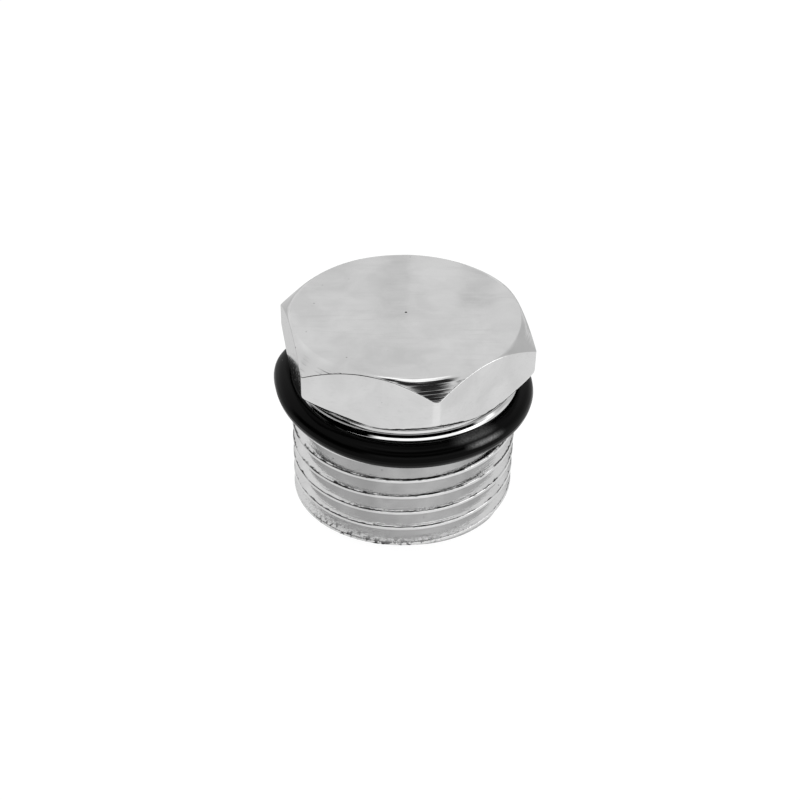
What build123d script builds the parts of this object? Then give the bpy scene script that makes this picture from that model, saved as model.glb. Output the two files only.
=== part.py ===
from build123d import *
import os
from math import ceil, cos, radians, tan

# A blanking plug for a water or heating fitting: a chrome-plated brass plug turned from hexagon bar,
# with a parallel pipe thread below and a rubber O-ring under the head.
# All sizes are in millimetres. The plug stands on its thread end at z = 0, its axis is +Z,
# and two corners of the hexagon point along +Y and -Y.

# Parallel pipe thread, size 1/2, right-hand
thread_diameter = 20.955        # over the crests
thread_pitch = 1.814            # 14 threads to the inch
thread_flank_angle = 27.5       # each flank, from the plane square to the axis
thread_length = 10.5            # end face to the ring's seat
thread_start_height = 0.68      # middle of the groove on the +X side, above the end face
thread_end_chamfer = 0.6        # 45 degrees, at the leading end

# Blind hole, drilled from the thread end to save metal
bore_diameter = 14.0
bore_depth = 10.0               # end face to the start of the drill point
bore_chamfer = 0.5              # 45 degrees, at the mouth
drill_point_angle = 118.0

# O-ring, and the clearance of its seat
ring_bore = 19.3                # inner diameter
ring_section = 2.3              # thickness
ring_clearance = 0.05           # to the floor and to each wall of the seat

# Collar that holds the ring, and the round shoulder between the collar and the head
collar_overhang = 0.9           # over the floor of the ring's seat
collar_land = 0.05              # straight edge of the collar, below its rounding
collar_round = 0.3              # rounding of its upper edge
shoulder_step = 0.05            # ledge between that rounding and the shoulder
shoulder_length = 0.55          # collar to the underside of the head

# Hexagon head, wide enough to cover the ring
head_overhang = 0.9             # flats, over the floor of the ring's seat: 21 mm across the flats
head_height = 5.6
head_face_inset = 0.2           # edge of the round faces, inside the flats
head_chamfer_angle = 42.5       # corner chamfers above and below, from the round faces
centre_mark_diameter = 0.3      # left by the lathe in the middle of the top face
centre_mark_depth = 0.1

# Thread form: a sharp triangle with a sixth of its height cut off at the crest and at the root
thread_radius = thread_diameter / 2
triangle_height = thread_pitch / (2 * tan(radians(thread_flank_angle)))
thread_depth = triangle_height * 2 / 3
root_radius = thread_radius - thread_depth
root_half_width = thread_pitch / 12
cutter_radius = thread_radius + thread_depth / 6
cutter_half_width = root_half_width + (cutter_radius - root_radius) * tan(radians(thread_flank_angle))

# Radii that follow
bore_radius = bore_diameter / 2
ring_tube_radius = ring_section / 2
ring_centre_radius = ring_bore / 2 + ring_tube_radius
seat_radius = ring_bore / 2 - ring_clearance
collar_radius = seat_radius + collar_overhang
shoulder_radius = collar_radius - collar_round - shoulder_step
head_flat_radius = seat_radius + head_overhang
head_face_radius = head_flat_radius - head_face_inset
head_corner_radius = head_flat_radius / cos(radians(30))
head_corner_drop = (head_corner_radius - head_face_radius) * tan(radians(head_chamfer_angle))
centre_mark_radius = centre_mark_diameter / 2

# Levels above the end face, from below
groove_start = thread_start_height - 2 * thread_pitch
groove_turns = ceil((thread_length - groove_start) / thread_pitch) + 1
drill_point_top = bore_depth + bore_radius / tan(radians(drill_point_angle / 2))
seat_bottom = thread_length
seat_top = seat_bottom + ring_section + 2 * ring_clearance
ring_level = (seat_bottom + seat_top) / 2
collar_edge_top = seat_top + collar_land
collar_top = collar_edge_top + collar_round
head_bottom = collar_top + shoulder_length
head_top = head_bottom + head_height

os.makedirs("parts", exist_ok=True)

# Hexagon bar turned on both ends: the two cones cut the six corners and leave curved edges on the flats
with BuildPart() as hexagon_head:
    with BuildSketch(Plane.XY.offset(head_bottom)):
        RegularPolygon(head_flat_radius, 6, major_radius=False, rotation=30)
    extrude(amount=head_height)
    with BuildSketch(Plane.XZ):
        with BuildLine():
            Polyline(
                (0, head_bottom),
                (head_face_radius, head_bottom),
                (head_corner_radius, head_bottom + head_corner_drop),
                (head_corner_radius, head_top - head_corner_drop),
                (head_face_radius, head_top),
                (centre_mark_radius, head_top),
                (0, head_top - centre_mark_depth),
                close=True,
            )
        make_face()
    revolve(axis=Axis.Z, mode=Mode.INTERSECT)

# One turn of the thread groove: its section goes once round a helix, below the end face of the plug
with BuildPart() as groove_turn:
    with BuildLine() as groove_path:
        Helix(thread_pitch, thread_pitch, thread_radius, center=(0, 0, groove_start))
    with BuildSketch(Plane.XZ):
        with BuildLine():
            Polyline(
                (root_radius, groove_start - root_half_width),
                (root_radius, groove_start + root_half_width),
                (cutter_radius, groove_start + cutter_half_width),
                (cutter_radius, groove_start - cutter_half_width),
                close=True,
            )
        make_face()
    sweep(path=groove_path.line, is_frenet=True)

# The plug: the shank is threaded turn by turn, up and out into the ring's seat. Then come the seat, collar
# and shoulder in one turned profile, the head, the drilled hole, and the chamfer at the leading end.
with BuildPart() as plug_body:
    with BuildSketch(Plane.YZ):
        with Locations((thread_radius / 2, thread_length / 2)):
            Rectangle(thread_radius, thread_length)
    revolve(axis=Axis.Z)
    with Locations(*[(0, 0, turn * thread_pitch) for turn in range(groove_turns)]):
        add(groove_turn.part, mode=Mode.SUBTRACT)
    with BuildSketch(Plane.YZ):
        with BuildLine():
            CenterArc((collar_radius - collar_round, collar_edge_top), collar_round, 0, 90)
            Polyline(
                (collar_radius - collar_round, collar_top),
                (shoulder_radius, collar_top),
                (shoulder_radius, head_bottom),
                (0, head_bottom),
                (0, seat_bottom),
                (seat_radius, seat_bottom),
                (seat_radius, seat_top),
                (collar_radius, seat_top),
                (collar_radius, collar_edge_top),
            )
        make_face()
    revolve(axis=Axis.Z)
    add(hexagon_head.part)
    with BuildSketch(Plane.YZ):
        with BuildLine():
            Polyline(
                (0, 0),
                (bore_radius + bore_chamfer, 0),
                (bore_radius, bore_chamfer),
                (bore_radius, bore_depth),
                (0, drill_point_top),
                close=True,
            )
        make_face()
    revolve(axis=Axis.Z, mode=Mode.SUBTRACT)
    with BuildSketch(Plane.YZ):
        with BuildLine():
            Polyline(
                (thread_radius - thread_end_chamfer, 0),
                (thread_radius + thread_end_chamfer, 0),
                (thread_radius + thread_end_chamfer, 2 * thread_end_chamfer),
                close=True,
            )
        make_face()
    revolve(axis=Axis.Z, mode=Mode.SUBTRACT)

with BuildPart() as o_ring:
    with BuildSketch(Plane.XZ):
        with Locations((ring_centre_radius, ring_level)):
            Circle(ring_tube_radius)
    revolve(axis=Axis.Z)

plug_body.part.label = "plug_body"
o_ring.part.label = "o_ring"
export_step(plug_body.part, "parts/plug_body.step")
export_step(o_ring.part, "parts/o_ring.step")
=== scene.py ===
# %% [markdown]
# # A blanking plug: chrome on brass, with a rubber ring
# The real plug is turned from hexagon bar, threaded at one end and chrome plated. A black rubber O-ring lies
# under its head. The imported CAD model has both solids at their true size. This lesson draws them once more as
# fine meshes with softened edges, because polished metal shows its shape by what its edges reflect, and then
# gives them their finishes, the light and the camera.
# The parts are small, so lengths here are in millimetres, and `MM` turns them into Blender's metres.

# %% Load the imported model
from math import atan, cos, pi, radians, sin, tan

import bmesh
import bpy
import numpy as np
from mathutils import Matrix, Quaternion, Vector


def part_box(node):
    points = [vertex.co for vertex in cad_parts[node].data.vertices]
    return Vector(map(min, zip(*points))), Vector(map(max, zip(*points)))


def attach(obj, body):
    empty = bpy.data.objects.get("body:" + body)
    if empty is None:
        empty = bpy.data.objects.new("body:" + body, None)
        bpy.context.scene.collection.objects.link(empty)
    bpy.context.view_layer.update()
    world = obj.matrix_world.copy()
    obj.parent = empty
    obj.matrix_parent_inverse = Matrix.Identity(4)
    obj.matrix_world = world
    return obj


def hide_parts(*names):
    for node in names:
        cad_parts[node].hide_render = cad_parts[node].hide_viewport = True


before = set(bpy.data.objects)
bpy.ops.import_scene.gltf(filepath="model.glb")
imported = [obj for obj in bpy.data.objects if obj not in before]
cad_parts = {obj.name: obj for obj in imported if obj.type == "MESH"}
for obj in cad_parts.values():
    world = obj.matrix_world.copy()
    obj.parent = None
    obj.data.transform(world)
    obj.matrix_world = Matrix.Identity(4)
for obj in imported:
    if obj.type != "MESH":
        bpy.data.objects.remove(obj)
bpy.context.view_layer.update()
MM = 0.001

plug_low, plug_high = (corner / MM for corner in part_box("plug_body"))
ring_low, ring_high = (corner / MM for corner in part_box("o_ring"))

# %% [markdown]
# ## The sizes of the plug
# The overall sizes come from the boxes of the two CAD nodes. The smaller ones are those of a G 1/2 plug: the
# parallel pipe thread with 14 threads to the inch, the seat of the ring, the rounded collar above it, and the
# hexagon head with its corners turned off at both ends.

# %% Sizes and levels, in millimetres
half_flats = (plug_high.x - plug_low.x) / 2
head_top = plug_high.z
head_bottom = head_top - 5.6
head_face_radius = half_flats - 0.2
head_corner_radius = half_flats / cos(pi / 6)
chamfer_slope = tan(radians(42.5))
centre_mark_radius = 0.15
centre_mark_depth = 0.1

ring_tube_radius = (ring_high.z - ring_low.z) / 2
ring_centre_radius = (ring_high.x - ring_low.x) / 2 - ring_tube_radius
ring_level = (ring_high.z + ring_low.z) / 2
ring_clearance = 0.05
seat_radius = ring_centre_radius - ring_tube_radius - ring_clearance
seat_top = ring_level + ring_tube_radius + ring_clearance
seat_bottom = ring_level - ring_tube_radius - ring_clearance
collar_radius = seat_radius + 0.9
collar_round = 0.3
collar_top = seat_top + 0.05 + collar_round
shoulder_radius = collar_radius - collar_round - 0.05

thread_radius = 20.955 / 2
thread_pitch = 1.814
flank_slope = tan(radians(27.5))
thread_depth = thread_pitch / (2 * flank_slope) * 2 / 3
thread_start = 0.68
end_chamfer = 0.6
bore_radius = 7.0
bore_depth = 10.0
bore_chamfer = 0.5
drill_point_height = bore_radius / tan(radians(59))
print(f"head {head_bottom:.2f} to {head_top:.2f}, collar to {collar_top:.2f}, seat {seat_bottom:.2f} to {seat_top:.2f}")

# %% [markdown]
# ## Softened corners
# A turned edge is never quite sharp: tools, polishing and plating round it by a tenth of a millimetre or two, and
# on chrome that thin round is the bright line that the eye takes for an edge. A bevel modifier could add it, but
# here every surface is a section that goes round an axis, so it is simpler to round the corners of the section.
# The helper takes corner points with a radius each and gives the rows of the section. Beside each round it adds
# a row that keeps the long faces flat in the shading.

# %% A section with rounded corners
HOLD = 0.05


def rounded(corners, steps=4, along=1):
    """Rows of a section. Each corner is across, height, radius and the finish that follows it."""
    points = [np.array(np.broadcast_arrays(np.asarray(c[0], float), np.asarray(c[1], float))) for c in corners]
    size = max((p.shape for p in points), key=len)
    points = [np.broadcast_to(p.reshape(p.shape + (1,) * (len(size) - p.ndim)), size) for p in points]
    bends = []
    for i, corner in enumerate(corners):
        if np.all(np.asarray(corner[2]) == 0):
            bends.append([points[i]])
            continue
        back, on = points[i - 1] - points[i], points[i + 1] - points[i]
        back, on = back / np.linalg.norm(back, axis=0), on / np.linalg.norm(on, axis=0)
        half = np.arccos((back * on).sum(0)) / 2
        middle = (back + on) / np.linalg.norm(back + on, axis=0)
        centre = points[i] + middle * corner[2] / np.sin(half)
        first = points[i] + back * corner[2] / np.tan(half) - centre
        last = points[i] + on * corner[2] / np.tan(half) - centre
        turn = pi - 2 * half
        bends.append([
            centre + (np.sin((1 - k / steps) * turn) * first + np.sin(k / steps * turn) * last) / np.sin(turn)
            for k in range(steps + 1)
        ])
    rows, finishes = [], []
    for i, bend in enumerate(bends):
        rows += bend
        finishes += [corners[i][3]] * len(bend)
        if i + 1 < len(bends):
            start, end = bend[-1], bends[i + 1][0]
            length = np.linalg.norm(end - start, axis=0)
            near = np.minimum(HOLD / length, 0.3)
            shares = [near, *(k / along + 0 * near for k in range(1, along)), 1 - near]
            rows += [start + (end - start) * share for share in shares]
            finishes += [corners[i][3]] * len(shares)
    return rows, finishes


# %% [markdown]
# ## Columns round the axis
# Every section of the plug is drawn at the same angles. They lie closer together at the six corners of the
# hexagon, where the flats meet in a small round, and wider apart in the middle of the flats.

# %% Angles of the columns, and the hexagon's radius there
COLUMNS_PER_FLAT = 60
CORNER_ROUND = 0.3
WORN_ROUND = 0.8
WORN_CORNER = radians(270)
across = np.arange(COLUMNS_PER_FLAT) / COLUMNS_PER_FLAT * 2 - 1
across = radians(30) * (across + 0.75 * np.sin(pi * across) / pi)
angles = (np.arange(6)[:, None] * radians(60) + across).ravel()


def hexagon_radius(angle):
    """Distance from the axis to the hexagon, with its six corners rounded."""
    from_flat = np.abs((angle + pi / 6) % (pi / 3) - pi / 6)
    from_corner = pi / 6 - from_flat
    corner_round = np.where(np.abs(angle - WORN_CORNER) < pi / 6, WORN_ROUND, CORNER_ROUND)
    reach = (half_flats - corner_round) / cos(pi / 6)
    on_round = reach * np.cos(from_corner)
    on_round = on_round + np.sqrt(np.maximum(corner_round ** 2 - (reach * np.sin(from_corner)) ** 2, 0))
    flat_ends = np.arctan((half_flats - corner_round) * tan(pi / 6) / half_flats)
    return np.where(from_flat < flat_ends, half_flats / np.cos(from_flat), on_round)


hexagon = hexagon_radius(angles)
print("columns:", len(angles), "hexagon radius", hexagon.min().round(3), "to", hexagon.max().round(3))

# %% [markdown]
# ## The head, the collar and the seat of the ring
# One section, from the middle of the top face down to the seat. The cone that takes off the corners meets the
# flats at a height that depends on the distance from the axis, so the flat faces end in the curved edges that
# every turned hexagon has. The same list of corners serves all the columns: the hexagon's radius in it is an
# array with one value for each column.

# %% Section of the head
FACED, TURNED, DRAWN, THREADED, ROUGH = range(5)
cone_drop = (hexagon - head_face_radius) * chamfer_slope
rim = np.minimum(0.35, 0.5 * (hexagon - head_face_radius))
burr = np.maximum(np.sin(23 * angles) * np.sin(37 * angles + 1), 0)
deep_cut = np.exp(-((angles - radians(226)) / radians(15)) ** 2)
lower_round = np.minimum(0.06 + 0.3 * burr + 1.4 * (1 - 0.7 * deep_cut) * (hexagon - half_flats), 1.0)
head_section = rounded([
    (0, head_top - centre_mark_depth, 0, FACED),
    (centre_mark_radius, head_top, 0, FACED),
    (head_face_radius, head_top, 1.2 * rim, TURNED),
    (head_face_radius + rim, head_top - rim * tan(radians(30)), 5.5 * rim, TURNED),
    (hexagon, head_top - cone_drop, 0.18, DRAWN),
    (hexagon, head_bottom + cone_drop + 0.42 * deep_cut, lower_round, TURNED),
    (head_face_radius, head_bottom, 0.12, FACED),
    (shoulder_radius - 0.02, head_bottom, 0, FACED),
    (shoulder_radius, seat_top + 0.46, 0, FACED),
    (collar_radius - 0.25, seat_top + 0.46, 0, FACED),
    (collar_radius - 0.1, seat_top + 0.24, 0, FACED),
    (collar_radius, seat_top + 0.02, 0, FACED),
    (collar_radius, seat_top, 0, TURNED),
    (seat_radius, seat_top, 0, TURNED),
    (seat_radius, seat_bottom, 0, TURNED),
], steps=5)
print("rows in the head's section:", len(head_section[0]))

# %% [markdown]
# ## The thread
# The groove of a screw thread is one section that climbs as it goes round. A screw modifier makes a thread, but
# leaves it with ragged ends. Here the rows of the mesh follow the helix: each row keeps its place on the thread's
# section and rises by one pitch in a turn. Where a row would leave the thread it stays on the end's level and
# takes the radius that the thread has there, and the points that then lie together are merged.

# %% Section of one pitch, and the rows that follow the helix
root_half = thread_pitch / 12
mouth_half = root_half + thread_depth * flank_slope
root_radius = thread_radius - thread_depth
pitch_rows, _ = rounded([
    (0, root_radius, 0, THREADED),
    (root_half, root_radius, 0.1, THREADED),
    (mouth_half, thread_radius, 0.08, THREADED),
    (thread_pitch - mouth_half, thread_radius, 0.25, THREADED),
    (thread_pitch - root_half, root_radius, 0.1, THREADED),
    (thread_pitch, root_radius, 0, THREADED),
], steps=3, along=2)
along_pitch, pitch_radius = np.array(pitch_rows).reshape(-1, 2).T


def thread_surface(angle, height):
    """Radius of the threaded shank at an angle and a height, with the chamfer at its leading end."""
    on_pitch = (height - thread_start - thread_pitch * angle / (2 * pi)) % thread_pitch
    radius = np.interp(on_pitch, along_pitch, pitch_radius)
    return np.minimum(radius, thread_radius - end_chamfer + np.maximum(height, 0))


helix_angles = np.append(angles, angles[0] + 2 * pi)
turns = np.arange(-3, 7)
starts = (thread_start + turns[:, None] * thread_pitch + along_pitch[:-1]).ravel()
heights = starts[:, None] + thread_pitch * helix_angles / (2 * pi)
heights = np.clip(heights, 0, seat_bottom)
radii = thread_surface(helix_angles, heights)
print("rows along the helix:", len(starts), "over", len(turns), "turns")

# %% [markdown]
# ## The end face and the blind hole
# The hole is drilled from the thread end to save metal. It has a small chamfer at its mouth, straight walls and
# the cone that a drill leaves. Nobody sees it in the photograph, but the plug can be turned over.

# %% Section of the end
end_radius = thread_surface(angles, 0 * angles)
end_section = rounded([
    (end_radius, 0, 0, TURNED),
    (bore_radius + bore_chamfer, 0, 0, TURNED),
    (bore_radius, bore_chamfer, 0, TURNED),
    (bore_radius, bore_depth, 0.2, TURNED),
    (0, bore_depth + drill_point_height, 0, TURNED),
])
seat_floor = ([np.array([seat_radius + 0 * angles, seat_bottom + 0 * angles]),
               np.array([thread_surface(angles, seat_bottom + 0 * angles), seat_bottom + 0 * angles])], [TURNED, TURNED])


# %% [markdown]
# ## One mesh from the sections
# Each section becomes a grid of points: rows by columns. The grids share their borders, so merging points that
# lie together joins them into one closed skin. Edges that bend by more than 35 degrees stay sharp in the shading.

# %% Build the plug's mesh
def grid(rows, angle):
    """Points of a section, or of a helix, at every column, in millimetres."""
    radius = np.array([np.broadcast_to(row[0], angle.shape) for row in rows])
    height = np.array([np.broadcast_to(row[1], angle.shape) for row in rows])
    return np.stack([radius * np.cos(angle), radius * np.sin(angle), height], axis=-1)


def skin(name, grids):
    """One closed mesh from grids of points. Each grid comes with the finish of its rows and whether it goes right round."""
    points, faces, finishes = [], [], []
    count = 0
    for place, finish, closed in grids:
        rows, columns = place.shape[:2]
        number = count + np.arange(rows * columns).reshape(rows, columns)
        beside = np.roll(number, -1, axis=1)
        quads = np.stack([number[:-1], number[1:], beside[1:], beside[:-1]], axis=-1)
        quads = quads if closed else quads[:, :-1]
        points.append(place.reshape(-1, 3) * MM)
        faces.append(quads.reshape(-1, 4))
        finish = np.asarray(finish).reshape(rows, -1)[:rows - 1, :quads.shape[1]]
        finishes.append(np.broadcast_to(finish, quads.shape[:2]).ravel())
        count += rows * columns
    mesh = bpy.data.meshes.new(name)
    mesh.from_pydata(np.concatenate(points).tolist(), [], np.concatenate(faces).tolist())
    mesh.polygons.foreach_set("material_index", np.concatenate(finishes).astype(np.int32))
    shape = bmesh.new()
    shape.from_mesh(mesh)
    bmesh.ops.remove_doubles(shape, verts=shape.verts, dist=2e-4 * MM)
    bmesh.ops.dissolve_degenerate(shape, edges=shape.edges, dist=1e-5 * MM)
    bmesh.ops.recalc_face_normals(shape, faces=shape.faces)
    open_edges = sum(not edge.is_manifold for edge in shape.edges)
    for face in shape.faces:
        face.smooth = True
    shape.to_mesh(mesh)
    shape.free()
    mesh.set_sharp_from_angle(angle=radians(35))
    piece = bpy.data.objects.new(name, mesh)
    bpy.context.scene.collection.objects.link(piece)
    triangles = sum(len(face.vertices) - 2 for face in mesh.polygons)
    print(f"{name}: {triangles} triangles, {open_edges} open edges")
    return piece


helix_points = grid(list(zip(radii, heights)), helix_angles)
plug = skin("plug", [
    (grid(head_section[0], angles), head_section[1], True),
    (grid(seat_floor[0], angles), seat_floor[1], True),
    (helix_points, np.where(heights < 1.5, ROUGH, THREADED), False),
    (grid(end_section[0], angles), end_section[1], True),
])
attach(plug, "root")
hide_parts("plug_body")

# %% [markdown]
# ## The O-ring
# A rubber ring comes out of a two-part mould, which leaves a fine line of flash round its outside and inside. The
# ring is a torus, so it is made from one circle that goes round the axis. The flash is a low ridge on that circle.
# Pulled over the thread by hand, the ring never lies quite square: on one side it rides up on the collar. So its
# points are tilted by two or three degrees, and the rubber gives way where it would run into the metal.

# %% Build the ring's mesh
FLASH_HEIGHT = 0.02
FLASH_WIDTH = 0.06
RING_SAG = 0.12
RING_RISE = 0.77
RING_STRETCH = 0.26
ring_angles = np.arange(240) / 240 * 2 * pi
lift = RING_RISE * np.maximum(-np.cos(ring_angles), 0) ** 3 - RING_SAG
stretch = RING_STRETCH * np.exp(-((ring_angles - radians(157)) / radians(14)) ** 2)
round_tube = np.arange(73) / 72 * 2 * pi
round_tube = round_tube - 0.25 * np.sin(2 * round_tube)
ridge = np.exp(-(ring_tube_radius * np.sin(round_tube) / FLASH_WIDTH) ** 2)
tube = ring_tube_radius - 0.005 - FLASH_HEIGHT * (1 - ridge)
ring_rows = [(ring_centre_radius + stretch + t * cos(a), ring_level + lift + t * sin(a)) for t, a in zip(tube, round_tube)]
ring_points = grid(ring_rows, ring_angles)
ring_points[..., 0] = np.maximum(ring_points[..., 0], ring_low.x + 0.002)
walls = [(seat_bottom - 0.01, thread_radius), (seat_bottom, seat_radius), (seat_top, seat_radius),
         (seat_top + 0.01, collar_radius), (seat_top + 0.02, collar_radius), (seat_top + 0.24, collar_radius - 0.1),
         (seat_top + 0.46, collar_radius - 0.25), (seat_top + 0.47, shoulder_radius)]
reach = np.linalg.norm(ring_points[..., :2], axis=-1)
clear = np.maximum(reach, np.interp(ring_points[..., 2], *zip(*walls)) + 0.01)
ring_points[..., :2] *= (clear / reach)[..., None]
ring = skin("ring", [(ring_points, [0] * len(ring_rows), True)])
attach(ring, "root")
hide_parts("o_ring")

# %% [markdown]
# ## Colours and nodes
# Colours are written as hex values, as an eyedropper gives them, and one function turns them into the linear
# values that Blender's shaders work with. A second one adds a node: its inputs are numbers, or outputs of other
# nodes to link to.


# %% Helpers for materials
def linear(colour):
    """A hex colour such as #C8C8C8 as linear RGBA."""
    parts = [int(colour[i:i + 2], 16) / 255 for i in (1, 3, 5)]
    return (*(p / 12.92 if p <= 0.04045 else ((p + 0.055) / 1.055) ** 2.4 for p in parts), 1)


def node(tree, kind, inputs={}, **settings):
    """A node with its settings, its input values and its links."""
    made = tree.nodes.new("ShaderNode" + kind)
    for name, value in settings.items():
        setattr(made, name, value)
    for name, value in inputs.items():
        if isinstance(value, bpy.types.NodeSocket):
            tree.links.new(value, made.inputs[name])
        else:
            made.inputs[name].default_value = value
    return made


def window(tree, value, low, high, soft):
    """1 where the value lies between low and high, with soft sides."""
    rise = node(tree, "MapRange", {0: value, 1: low - soft, 2: low + soft}, interpolation_type="SMOOTHSTEP")
    fall = node(tree, "MapRange", {0: value, 1: high - soft, 2: high + soft, 3: 1, 4: 0}, interpolation_type="SMOOTHSTEP")
    return node(tree, "Math", {0: rise.outputs[0], 1: fall.outputs[0]}, operation="MULTIPLY").outputs[0]


# %% [markdown]
# ## Chrome-plated brass
# Bright chrome is a bluish-grey mirror that gives back a little over half of the light. The plating follows what
# is under it: fine turning marks on the faces and cones that the lathe cut, a few pits and the faint waves of the
# drawn bar on the flats, torn and streaky metal on the thread. Each finish is the same plating, with other marks.

# %% Materials of the plug
CHROME_LIGHT, CHROME_DARK = "#CECECE", "#C4C4C4"
PIT_DARK = "#6E6E6E"


def chrome(name, mark_width, mark_length, mark_height, grain_size, grain_height, scratch_height, roughness):
    """Chrome plating over marks that run round the axis. Sizes are in millimetres, mark_length is in radians."""
    material = bpy.data.materials.new(name)
    material.use_nodes = True
    tree = material.node_tree
    shader = tree.nodes["Principled BSDF"]
    shader.inputs["Metallic"].default_value = 1.0
    place = node(tree, "VectorMath", {0: node(tree, "TexCoord").outputs["Object"], "Scale": 1 / MM}, operation="SCALE")
    flat = node(tree, "VectorMath", {0: place.outputs[0], 1: (1, 1, 0)}, operation="MULTIPLY")
    reach = node(tree, "VectorMath", {0: flat.outputs[0]}, operation="LENGTH")
    way = node(tree, "VectorMath", {0: flat.outputs[0]}, operation="NORMALIZE")
    way = node(tree, "VectorMath", {0: way.outputs[0], "Scale": 1 / mark_length}, operation="SCALE")
    height = node(tree, "SeparateXYZ", {0: place.outputs[0]})
    out = node(tree, "Math", {0: reach.outputs["Value"], 1: mark_width}, operation="DIVIDE")
    up = node(tree, "Math", {0: height.outputs["Z"], 1: mark_width}, operation="DIVIDE")
    out = node(tree, "CombineXYZ", {"Z": out.outputs[0]})
    along = node(tree, "VectorMath", {0: way.outputs[0], 1: out.outputs[0]}, operation="ADD")
    marks = node(tree, "TexNoise", {"Vector": along.outputs[0], "W": up.outputs[0], "Scale": 1, "Detail": 3},
                 noise_dimensions="4D")
    grain = node(tree, "TexNoise", {"Vector": place.outputs[0], "Scale": 1 / grain_size, "Detail": 4})
    haze = node(tree, "TexNoise", {"Vector": place.outputs[0], "Scale": 1 / 3.0, "Detail": 5, "Distortion": 0.6})
    wiped = node(tree, "VectorRotate", {"Vector": place.outputs[0], "Angle": radians(12)}, rotation_type="Z_AXIS")
    wiped = node(tree, "VectorMath", {0: wiped.outputs[0], 1: (1 / 5, 1 / 0.25, 1 / 0.25)}, operation="MULTIPLY")
    wiped = node(tree, "TexNoise", {"Vector": wiped.outputs[0], "Scale": 1, "Detail": 4, "Roughness": 0.6})
    scratch = node(tree, "MapRange", {0: wiped.outputs[0], 1: 0.56, 2: 0.7})
    pits = node(tree, "TexVoronoi", {"Vector": place.outputs[0], "Scale": 1 / 1.3, "Randomness": 1})
    chosen = node(tree, "SeparateColor", {0: pits.outputs["Color"]})
    size = node(tree, "MapRange", {0: chosen.outputs[0], 1: 0.55, 2: 1.0, 3: 0.0, 4: 0.09})
    pit = node(tree, "MapRange", {0: pits.outputs["Distance"], 1: 0.0, 2: size.outputs[0], 3: 1.0, 4: 0.0})
    colour = node(tree, "MapRange", {0: haze.outputs[0], 1: 0.35, 2: 0.65})
    colour = node(tree, "Mix", {0: colour.outputs[0], 6: linear(CHROME_DARK), 7: linear(CHROME_LIGHT)}, data_type="RGBA")
    colour = node(tree, "Mix", {0: pit.outputs[0], 6: colour.outputs[2], 7: linear(PIT_DARK)}, data_type="RGBA")
    worn = node(tree, "Math", {0: scratch.outputs[0], 1: 25 * scratch_height}, operation="MULTIPLY")
    colour = node(tree, "Mix", {0: worn.outputs[0], 6: colour.outputs[2], 7: linear(PIT_DARK)}, data_type="RGBA")
    rough = node(tree, "MapRange", {0: haze.outputs[0], 1: 0.3, 2: 0.7, 3: roughness * 0.7, 4: roughness * 1.4})
    bump = node(tree, "Bump", {"Height": marks.outputs[0], "Distance": mark_height * MM})
    bump = node(tree, "Bump", {"Height": grain.outputs[0], "Distance": grain_height * MM, "Normal": bump.outputs[0]})
    bump = node(tree, "Bump", {"Height": scratch.outputs[0], "Distance": scratch_height * MM, "Normal": bump.outputs[0]},
                invert=True)
    bump = node(tree, "Bump", {"Height": pit.outputs[0], "Distance": 0.02 * MM, "Normal": bump.outputs[0]}, invert=True)
    tree.links.new(colour.outputs[2], shader.inputs["Base Color"])
    tree.links.new(rough.outputs[0], shader.inputs["Roughness"])
    tree.links.new(bump.outputs[0], shader.inputs["Normal"])
    return material


finishes = [
    chrome("chrome_plated_brass_faced", 0.15, 0.6, 0.0006, 0.8, 0.0006, 0.0012, 0.05),
    chrome("chrome_plated_brass_turned", 0.2, 0.8, 0.016, 0.8, 0.001, 0.001, 0.05),
    chrome("chrome_plated_brass_drawn", 0.5, 0.5, 0.002, 0.5, 0.003, 0.003, 0.07),
    chrome("chrome_plated_brass_threaded", 0.12, 0.25, 0.012, 0.2, 0.01, 0.003, 0.1),
    chrome("chrome_plated_brass_rough", 0.12, 0.1, 0.02, 0.2, 0.06, 0.01, 0.12),
]
for finish in finishes:
    plug.data.materials.append(finish)
print("finishes of the plug:", [finish.name for finish in finishes])

# %% [markdown]
# ## Painted shade under the crests, and dark specks on the thread
# The shadow that each crest casts on the flank below it is painted into the colour of the thread: a thin broken dark
# line that climbs with the helix along the upper edge of each crest. The small mark in the middle of the top face gets
# painted shade too. Dark specks lie round the end of the thread. The line's place is worked out in the shader from the
# angle and the height, as the mesh does it, and a noise breaks it up.

# %% Painted shade at the crests and in the centre mark, dark specks at the end
SHADE_AND_SPECK_DARK = "#141414"


def darken_shade_and_specks(material, mask):
    """Darken a finish where the mask is 1: for painted shade and for dark specks."""
    tree = material.node_tree
    base = tree.nodes["Principled BSDF"].inputs["Base Color"]
    darkened = node(tree, "Mix", {0: mask, 6: base.links[0].from_socket, 7: linear(SHADE_AND_SPECK_DARK)}, data_type="RGBA")
    tree.links.new(darkened.outputs[2], base)


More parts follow.
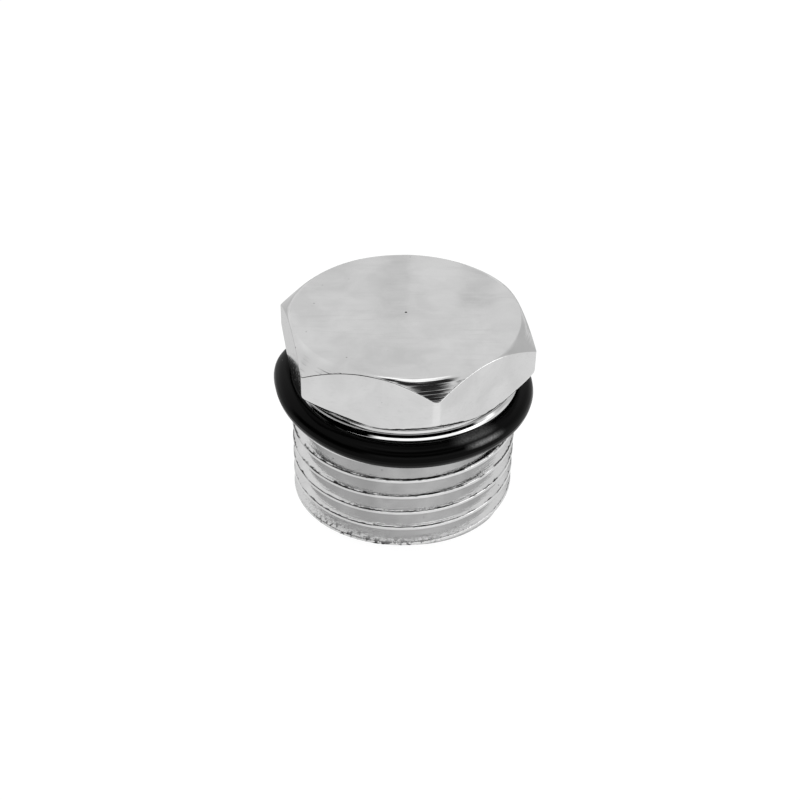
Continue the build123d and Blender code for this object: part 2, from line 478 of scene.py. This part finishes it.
# Painted shade: a thin dark line along the upper edge of each crest, where the crest shades the flank below it.
tree = finishes[THREADED].node_tree
place = node(tree, "VectorMath", {0: node(tree, "TexCoord").outputs["Object"], "Scale": 1 / MM}, operation="SCALE")
axes = node(tree, "SeparateXYZ", {0: place.outputs[0]})
turn = node(tree, "Math", {0: axes.outputs["Y"], 1: axes.outputs["X"]}, operation="ARCTAN2")
climb = node(tree, "Math", {0: turn.outputs[0], 1: -thread_pitch / (2 * pi), 2: axes.outputs["Z"]}, operation="MULTIPLY_ADD")
wobble = node(tree, "TexNoise", {"Vector": place.outputs[0], "Scale": 1 / 0.5, "Detail": 4})
wobble = node(tree, "Math", {0: wobble.outputs[0], 1: 0.2, 2: climb.outputs[0]}, operation="MULTIPLY_ADD")
crest_edge = thread_start + thread_pitch - mouth_half + 0.02 + 0.1
from_edge = node(tree, "Math", {0: wobble.outputs[0], 1: crest_edge - thread_pitch / 2}, operation="SUBTRACT")
from_edge = node(tree, "Math", {0: from_edge.outputs[0], 1: thread_pitch}, operation="FLOORED_MODULO")
from_edge = node(tree, "Math", {0: from_edge.outputs[0], 1: thread_pitch / 2}, operation="SUBTRACT")
from_edge = node(tree, "Math", {0: from_edge.outputs[0]}, operation="ABSOLUTE")
wide = node(tree, "MapRange", {0: axes.outputs["Z"], 1: 2, 2: 8, 3: 0.02, 4: 0.09})
line = node(tree, "MapRange", {0: from_edge.outputs[0], 1: 0.015, 2: wide.outputs[0], 3: 1, 4: 0})
breaks = node(tree, "TexNoise", {"Vector": place.outputs[0], "Scale": 1 / 1.6, "Detail": 5, "Roughness": 0.65})
breaks = node(tree, "MapRange", {0: breaks.outputs[0], 1: 0.46, 2: 0.54})
darken_shade_and_specks(finishes[THREADED], node(tree, "Math", {0: line.outputs[0], 1: breaks.outputs[0]}, operation="MULTIPLY").outputs[0])

# Painted shade in the centre mark: a small dark disc in the middle of the top face, where the shallow cone lies in
# shade.
tree = finishes[FACED].node_tree
place = node(tree, "VectorMath", {0: node(tree, "TexCoord").outputs["Object"], "Scale": 1 / MM}, operation="SCALE")
reach = node(tree, "VectorMath", {0: place.outputs[0], 1: (1, 1, 0)}, operation="MULTIPLY")
reach = node(tree, "VectorMath", {0: reach.outputs[0]}, operation="LENGTH")
darken_shade_and_specks(finishes[FACED], node(tree, "MapRange", {0: reach.outputs["Value"], 1: 0.08, 2: 0.15, 3: 1, 4: 0}).outputs[0])

tree = finishes[ROUGH].node_tree
place = node(tree, "VectorMath", {0: node(tree, "TexCoord").outputs["Object"], "Scale": 1 / MM}, operation="SCALE")
specks = node(tree, "TexNoise", {"Vector": place.outputs[0], "Scale": 1 / 0.4, "Detail": 3})
specks = node(tree, "MapRange", {0: specks.outputs[0], 1: 0.53, 2: 0.58})
height = node(tree, "SeparateXYZ", {0: place.outputs[0]})
low = node(tree, "MapRange", {0: height.outputs["Z"], 1: 1.0, 2: 1.5, 3: 1, 4: 0})
turn = node(tree, "Math", {0: height.outputs["Y"], 1: height.outputs["X"]}, operation="ARCTAN2")
front = window(tree, turn.outputs[0], radians(-150), radians(-85), 0.2)
low = node(tree, "Math", {0: low.outputs[0], 1: front}, operation="MULTIPLY")
darken_shade_and_specks(finishes[ROUGH], node(tree, "Math", {0: specks.outputs[0], 1: low.outputs[0]}, operation="MULTIPLY").outputs[0])

# %% [markdown]
# ## Nitrile rubber
# Moulded nitrile is nearly black, with a soft low gloss and the fine grain of the mould. A little dust clings to it.
# Two pale smears on the front right of the ring are painted highlights, put into its colour with the dust's grey.

# %% Material of the ring
RUBBER, DUST_AND_HIGHLIGHT = "#030303", "#D0D0D0"
# painted highlights: height on the ring from and to, in mm from its middle, angle round the axis from and to, in
# degrees, and strength
PAINTED_HIGHLIGHTS = [(0.45, 0.75, -72, -58, 0.8), (0.98, 1.12, -78, -60, 0.4)]
rubber = bpy.data.materials.new("nitrile_rubber")
rubber.use_nodes = True
tree = rubber.node_tree
shader = tree.nodes["Principled BSDF"]
shader.inputs["IOR"].default_value = 1.5
shader.inputs["Specular IOR Level"].default_value = 0.05
place = node(tree, "VectorMath", {0: node(tree, "TexCoord").outputs["Object"], "Scale": 1 / MM}, operation="SCALE")
grain = node(tree, "TexNoise", {"Vector": place.outputs[0], "Scale": 1 / 0.15, "Detail": 3})
cloud = node(tree, "TexNoise", {"Vector": place.outputs[0], "Scale": 1 / 2.0, "Detail": 3})
rough = node(tree, "MapRange", {0: cloud.outputs[0], 1: 0.3, 2: 0.7, 3: 0.16, 4: 0.24})
specks = node(tree, "TexVoronoi", {"Vector": place.outputs[0], "Scale": 1 / 0.9})
chosen = node(tree, "SeparateColor", {0: specks.outputs["Color"]})
size = node(tree, "MapRange", {0: chosen.outputs[0], 1: 0.6, 2: 1.0, 3: 0.0, 4: 0.06})
speck = node(tree, "MapRange", {0: specks.outputs["Distance"], 1: 0.0, 2: size.outputs[0], 3: 0.6, 4: 0.0})
colour = node(tree, "Mix", {0: speck.outputs[0], 6: linear(RUBBER), 7: linear(DUST_AND_HIGHLIGHT)}, data_type="RGBA")
axes = node(tree, "SeparateXYZ", {0: place.outputs[0]})
round_axis = node(tree, "Math", {0: axes.outputs["Y"], 1: axes.outputs["X"]}, operation="ARCTAN2")
painted_highlights = None
# Painted highlights: light grey mixed into the rubber's colour where a lamp's highlight falls on the ring.
for low, high, first, last, strength in PAINTED_HIGHLIGHTS:
    there = node(tree, "Math", {0: window(tree, round_axis.outputs[0], radians(first), radians(last), 0.09),
                                1: window(tree, axes.outputs["Z"], ring_level - RING_SAG + low, ring_level - RING_SAG + high, 0.16)},
                 operation="MULTIPLY")
    there = node(tree, "Math", {0: there.outputs[0], 1: strength}, operation="MULTIPLY")
    painted_highlights = there if painted_highlights is None else node(tree, "Math", {0: painted_highlights.outputs[0], 1: there.outputs[0]}, operation="MAXIMUM")
painted_highlights = node(tree, "Math", {0: painted_highlights.outputs[0], 1: grain.outputs[0]}, operation="MULTIPLY")
colour = node(tree, "Mix", {0: painted_highlights.outputs[0], 6: colour.outputs[2], 7: linear(DUST_AND_HIGHLIGHT)}, data_type="RGBA")
bump = node(tree, "Bump", {"Height": grain.outputs[0], "Distance": 0.004 * MM})
tree.links.new(colour.outputs[2], shader.inputs["Base Color"])
tree.links.new(rough.outputs[0], shader.inputs["Roughness"])
tree.links.new(bump.outputs[0], shader.inputs["Normal"])
ring.data.materials.append(rubber)

# %% [markdown]
# ## Camera
# The photograph looks down on one corner of the hexagon from close by. Distance, height and lens come from
# fitting the plug's own outlines to the picture, so the camera stands where the real one stood.

# %% Camera
CAMERA_TURN = radians(-13.35)
CAMERA_HEIGHT = radians(35.49)
CAMERA_DISTANCE = 127.13
CAMERA_ROLL = radians(1.27)
target = Vector((0, 0, 10.4))
back = Vector((sin(CAMERA_TURN) * cos(CAMERA_HEIGHT), -cos(CAMERA_TURN) * cos(CAMERA_HEIGHT), sin(CAMERA_HEIGHT)))
camera = bpy.data.objects.new("camera", bpy.data.cameras.new("camera"))
bpy.context.scene.collection.objects.link(camera)
camera.location = (target + back * CAMERA_DISTANCE) * MM
camera.rotation_mode = "QUATERNION"
camera.rotation_quaternion = (-back).to_track_quat("-Z", "Y") @ Quaternion((0, 0, 1), CAMERA_ROLL)
camera.data.sensor_width = 36
camera.data.lens = 61.3
camera.data.shift_x = -0.0052
camera.data.shift_y = -0.0076
camera.data.clip_start = 1 * MM
bpy.context.scene.camera = camera

# %% [markdown]
# ## Floor and light
# The plug stands on a white sheet in soft light from all round. Chrome has hardly a colour of its own, so its
# look is what it reflects: the white sheet below, a pale room behind, and in front a bright window low down with
# a dark stretch above it, where the camera stands. The room is drawn in the world's nodes by direction.

# %% Floor
floor_mesh = bpy.data.meshes.new("floor")
floor_half = 400 * MM
floor_mesh.from_pydata([(x * floor_half, y * floor_half, 0) for x, y in ((-1, -1), (1, -1), (1, 1), (-1, 1))], [], [(0, 1, 2, 3)])
floor = bpy.data.objects.new("floor", floor_mesh)
bpy.context.scene.collection.objects.link(floor)
paper = bpy.data.materials.new("white_paper")
paper.use_nodes = True
tree = paper.node_tree
tree.nodes.clear()
path = node(tree, "LightPath")
seen = node(tree, "Math", {0: path.outputs["Is Camera Ray"], 1: path.outputs["Is Glossy Ray"]}, operation="MAXIMUM")
seen = node(tree, "Math", {0: seen.outputs[0], 1: path.outputs["Is Transmission Ray"]}, operation="MAXIMUM")
# Painted light on the sheet, seen only in reflections: painted shade darkens it towards the back, and a painted pool of
# light brightens it in front of the plug. Straight on, the camera sees an even white.
depth = node(tree, "SeparateXYZ", {0: node(tree, "NewGeometry").outputs["Position"]})
level = node(tree, "MapRange", {0: depth.outputs["Y"], 1: 2 * MM, 2: 22 * MM, 3: 0.95, 4: 0.62})
place = node(tree, "NewGeometry").outputs["Position"]
painted_light_pool = node(tree, "VectorMath", {0: place, 1: (4.8 * MM, -32 * MM, 0)}, operation="DISTANCE")
painted_light_pool = node(tree, "MapRange", {0: painted_light_pool.outputs["Value"], 1: 14 * MM, 2: 24 * MM, 3: 1.18, 4: 1.0})
level = node(tree, "Math", {0: level.outputs[0], 1: painted_light_pool.outputs[0]}, operation="MULTIPLY")
level = node(tree, "Mix", {0: path.outputs["Is Camera Ray"], 2: level.outputs[0], 3: 0.95}, data_type="FLOAT")
glow = node(tree, "Math", {0: seen.outputs[0], 1: level.outputs[0]}, operation="MULTIPLY")
glow = node(tree, "Emission", {"Strength": glow.outputs[0]})
sheet = node(tree, "BsdfDiffuse", {"Color": linear("#606060")})
both = node(tree, "AddShader", {0: sheet.outputs[0], 1: glow.outputs[0]})
node(tree, "OutputMaterial", {"Surface": both.outputs[0]})
floor.data.materials.append(paper)

# %% World
world = bpy.data.worlds.new("pale_room")
bpy.context.scene.world = world
world.use_nodes = True
tree = world.node_tree
tree.nodes.clear()
way = node(tree, "VectorRotate", {"Vector": node(tree, "TexCoord").outputs["Generated"], "Angle": -CAMERA_TURN}, rotation_type="Z_AXIS")
axes = node(tree, "SeparateXYZ", {0: way.outputs[0]})
elevation = node(tree, "Math", {0: axes.outputs["Z"]}, operation="ARCSINE")
elevation = node(tree, "Math", {0: elevation.outputs[0]}, operation="DEGREES")
turn = node(tree, "Math", {0: axes.outputs["Y"], 1: -1}, operation="MULTIPLY")
turn = node(tree, "Math", {0: axes.outputs["X"], 1: turn.outputs[0]}, operation="ARCTAN2")
turn = node(tree, "Math", {0: turn.outputs[0]}, operation="DEGREES")


# elevation from and to, turn from and to, softness, brightness: patches of the room, in degrees
patches = [
    (80, 100, -200, 200, 6, 0.85),
    (30, 60, -150, -95, 8, 1.08),
    (3, 30, 95, 150, 6, 0.72),
    (-10, 37, -45, 60, 3, 0.0),
    (10, 26, 50, 72, 2, 0.0),
    (-10, 31, -80, -25, 3, 0.0),
    (-10, 24, -100, -25, 3, 0.0),
    (-10, 17, -27, 72, 3, 1.7),
    (66, 82, -60, 80, 4, 1.7),
    (46, 66, -30, 62, 4, 0.03),
    (2, 15, 55, 90, 3, 3.0),
    (26, 32.6, -190, -178.7, 0.3, 0.87),
    (26, 32.6, 179.9, 190, 0.05, 0.87),
    (26, 31.8, 175.6, 177.3, 0.2, 0.85),
    (26, 31.5, -177.8, -174.5, 0.6, 0.93),
    (33.4, 36, -190, -177.1, 0.4, 0.93),
    (33.4, 36, 178.9, 190, 0.4, 0.93),
]
light = node(tree, "Value")
light.outputs[0].default_value = 1.0
light = light.outputs[0]
for low, high, left, right, soft, bright in patches:
    patch = node(tree, "Math", {0: window(tree, elevation.outputs[0], low, high, soft), 1: window(tree, turn.outputs[0], left, right, 2 * soft)}, operation="MULTIPLY")
    light = node(tree, "Mix", {0: patch.outputs[0], 2: light, 3: bright}, data_type="FLOAT").outputs[0]
path = node(tree, "LightPath")
light = node(tree, "Mix", {0: path.outputs["Is Camera Ray"], 2: light, 3: 1.0}, data_type="FLOAT").outputs[0]
room = node(tree, "Background", {"Color": (1, 1, 1, 1), "Strength": light})
node(tree, "OutputWorld", {"Surface": room.outputs[0]})

# %% View settings
bpy.context.scene.view_settings.view_transform = "Standard"
bpy.context.view_layer.update()
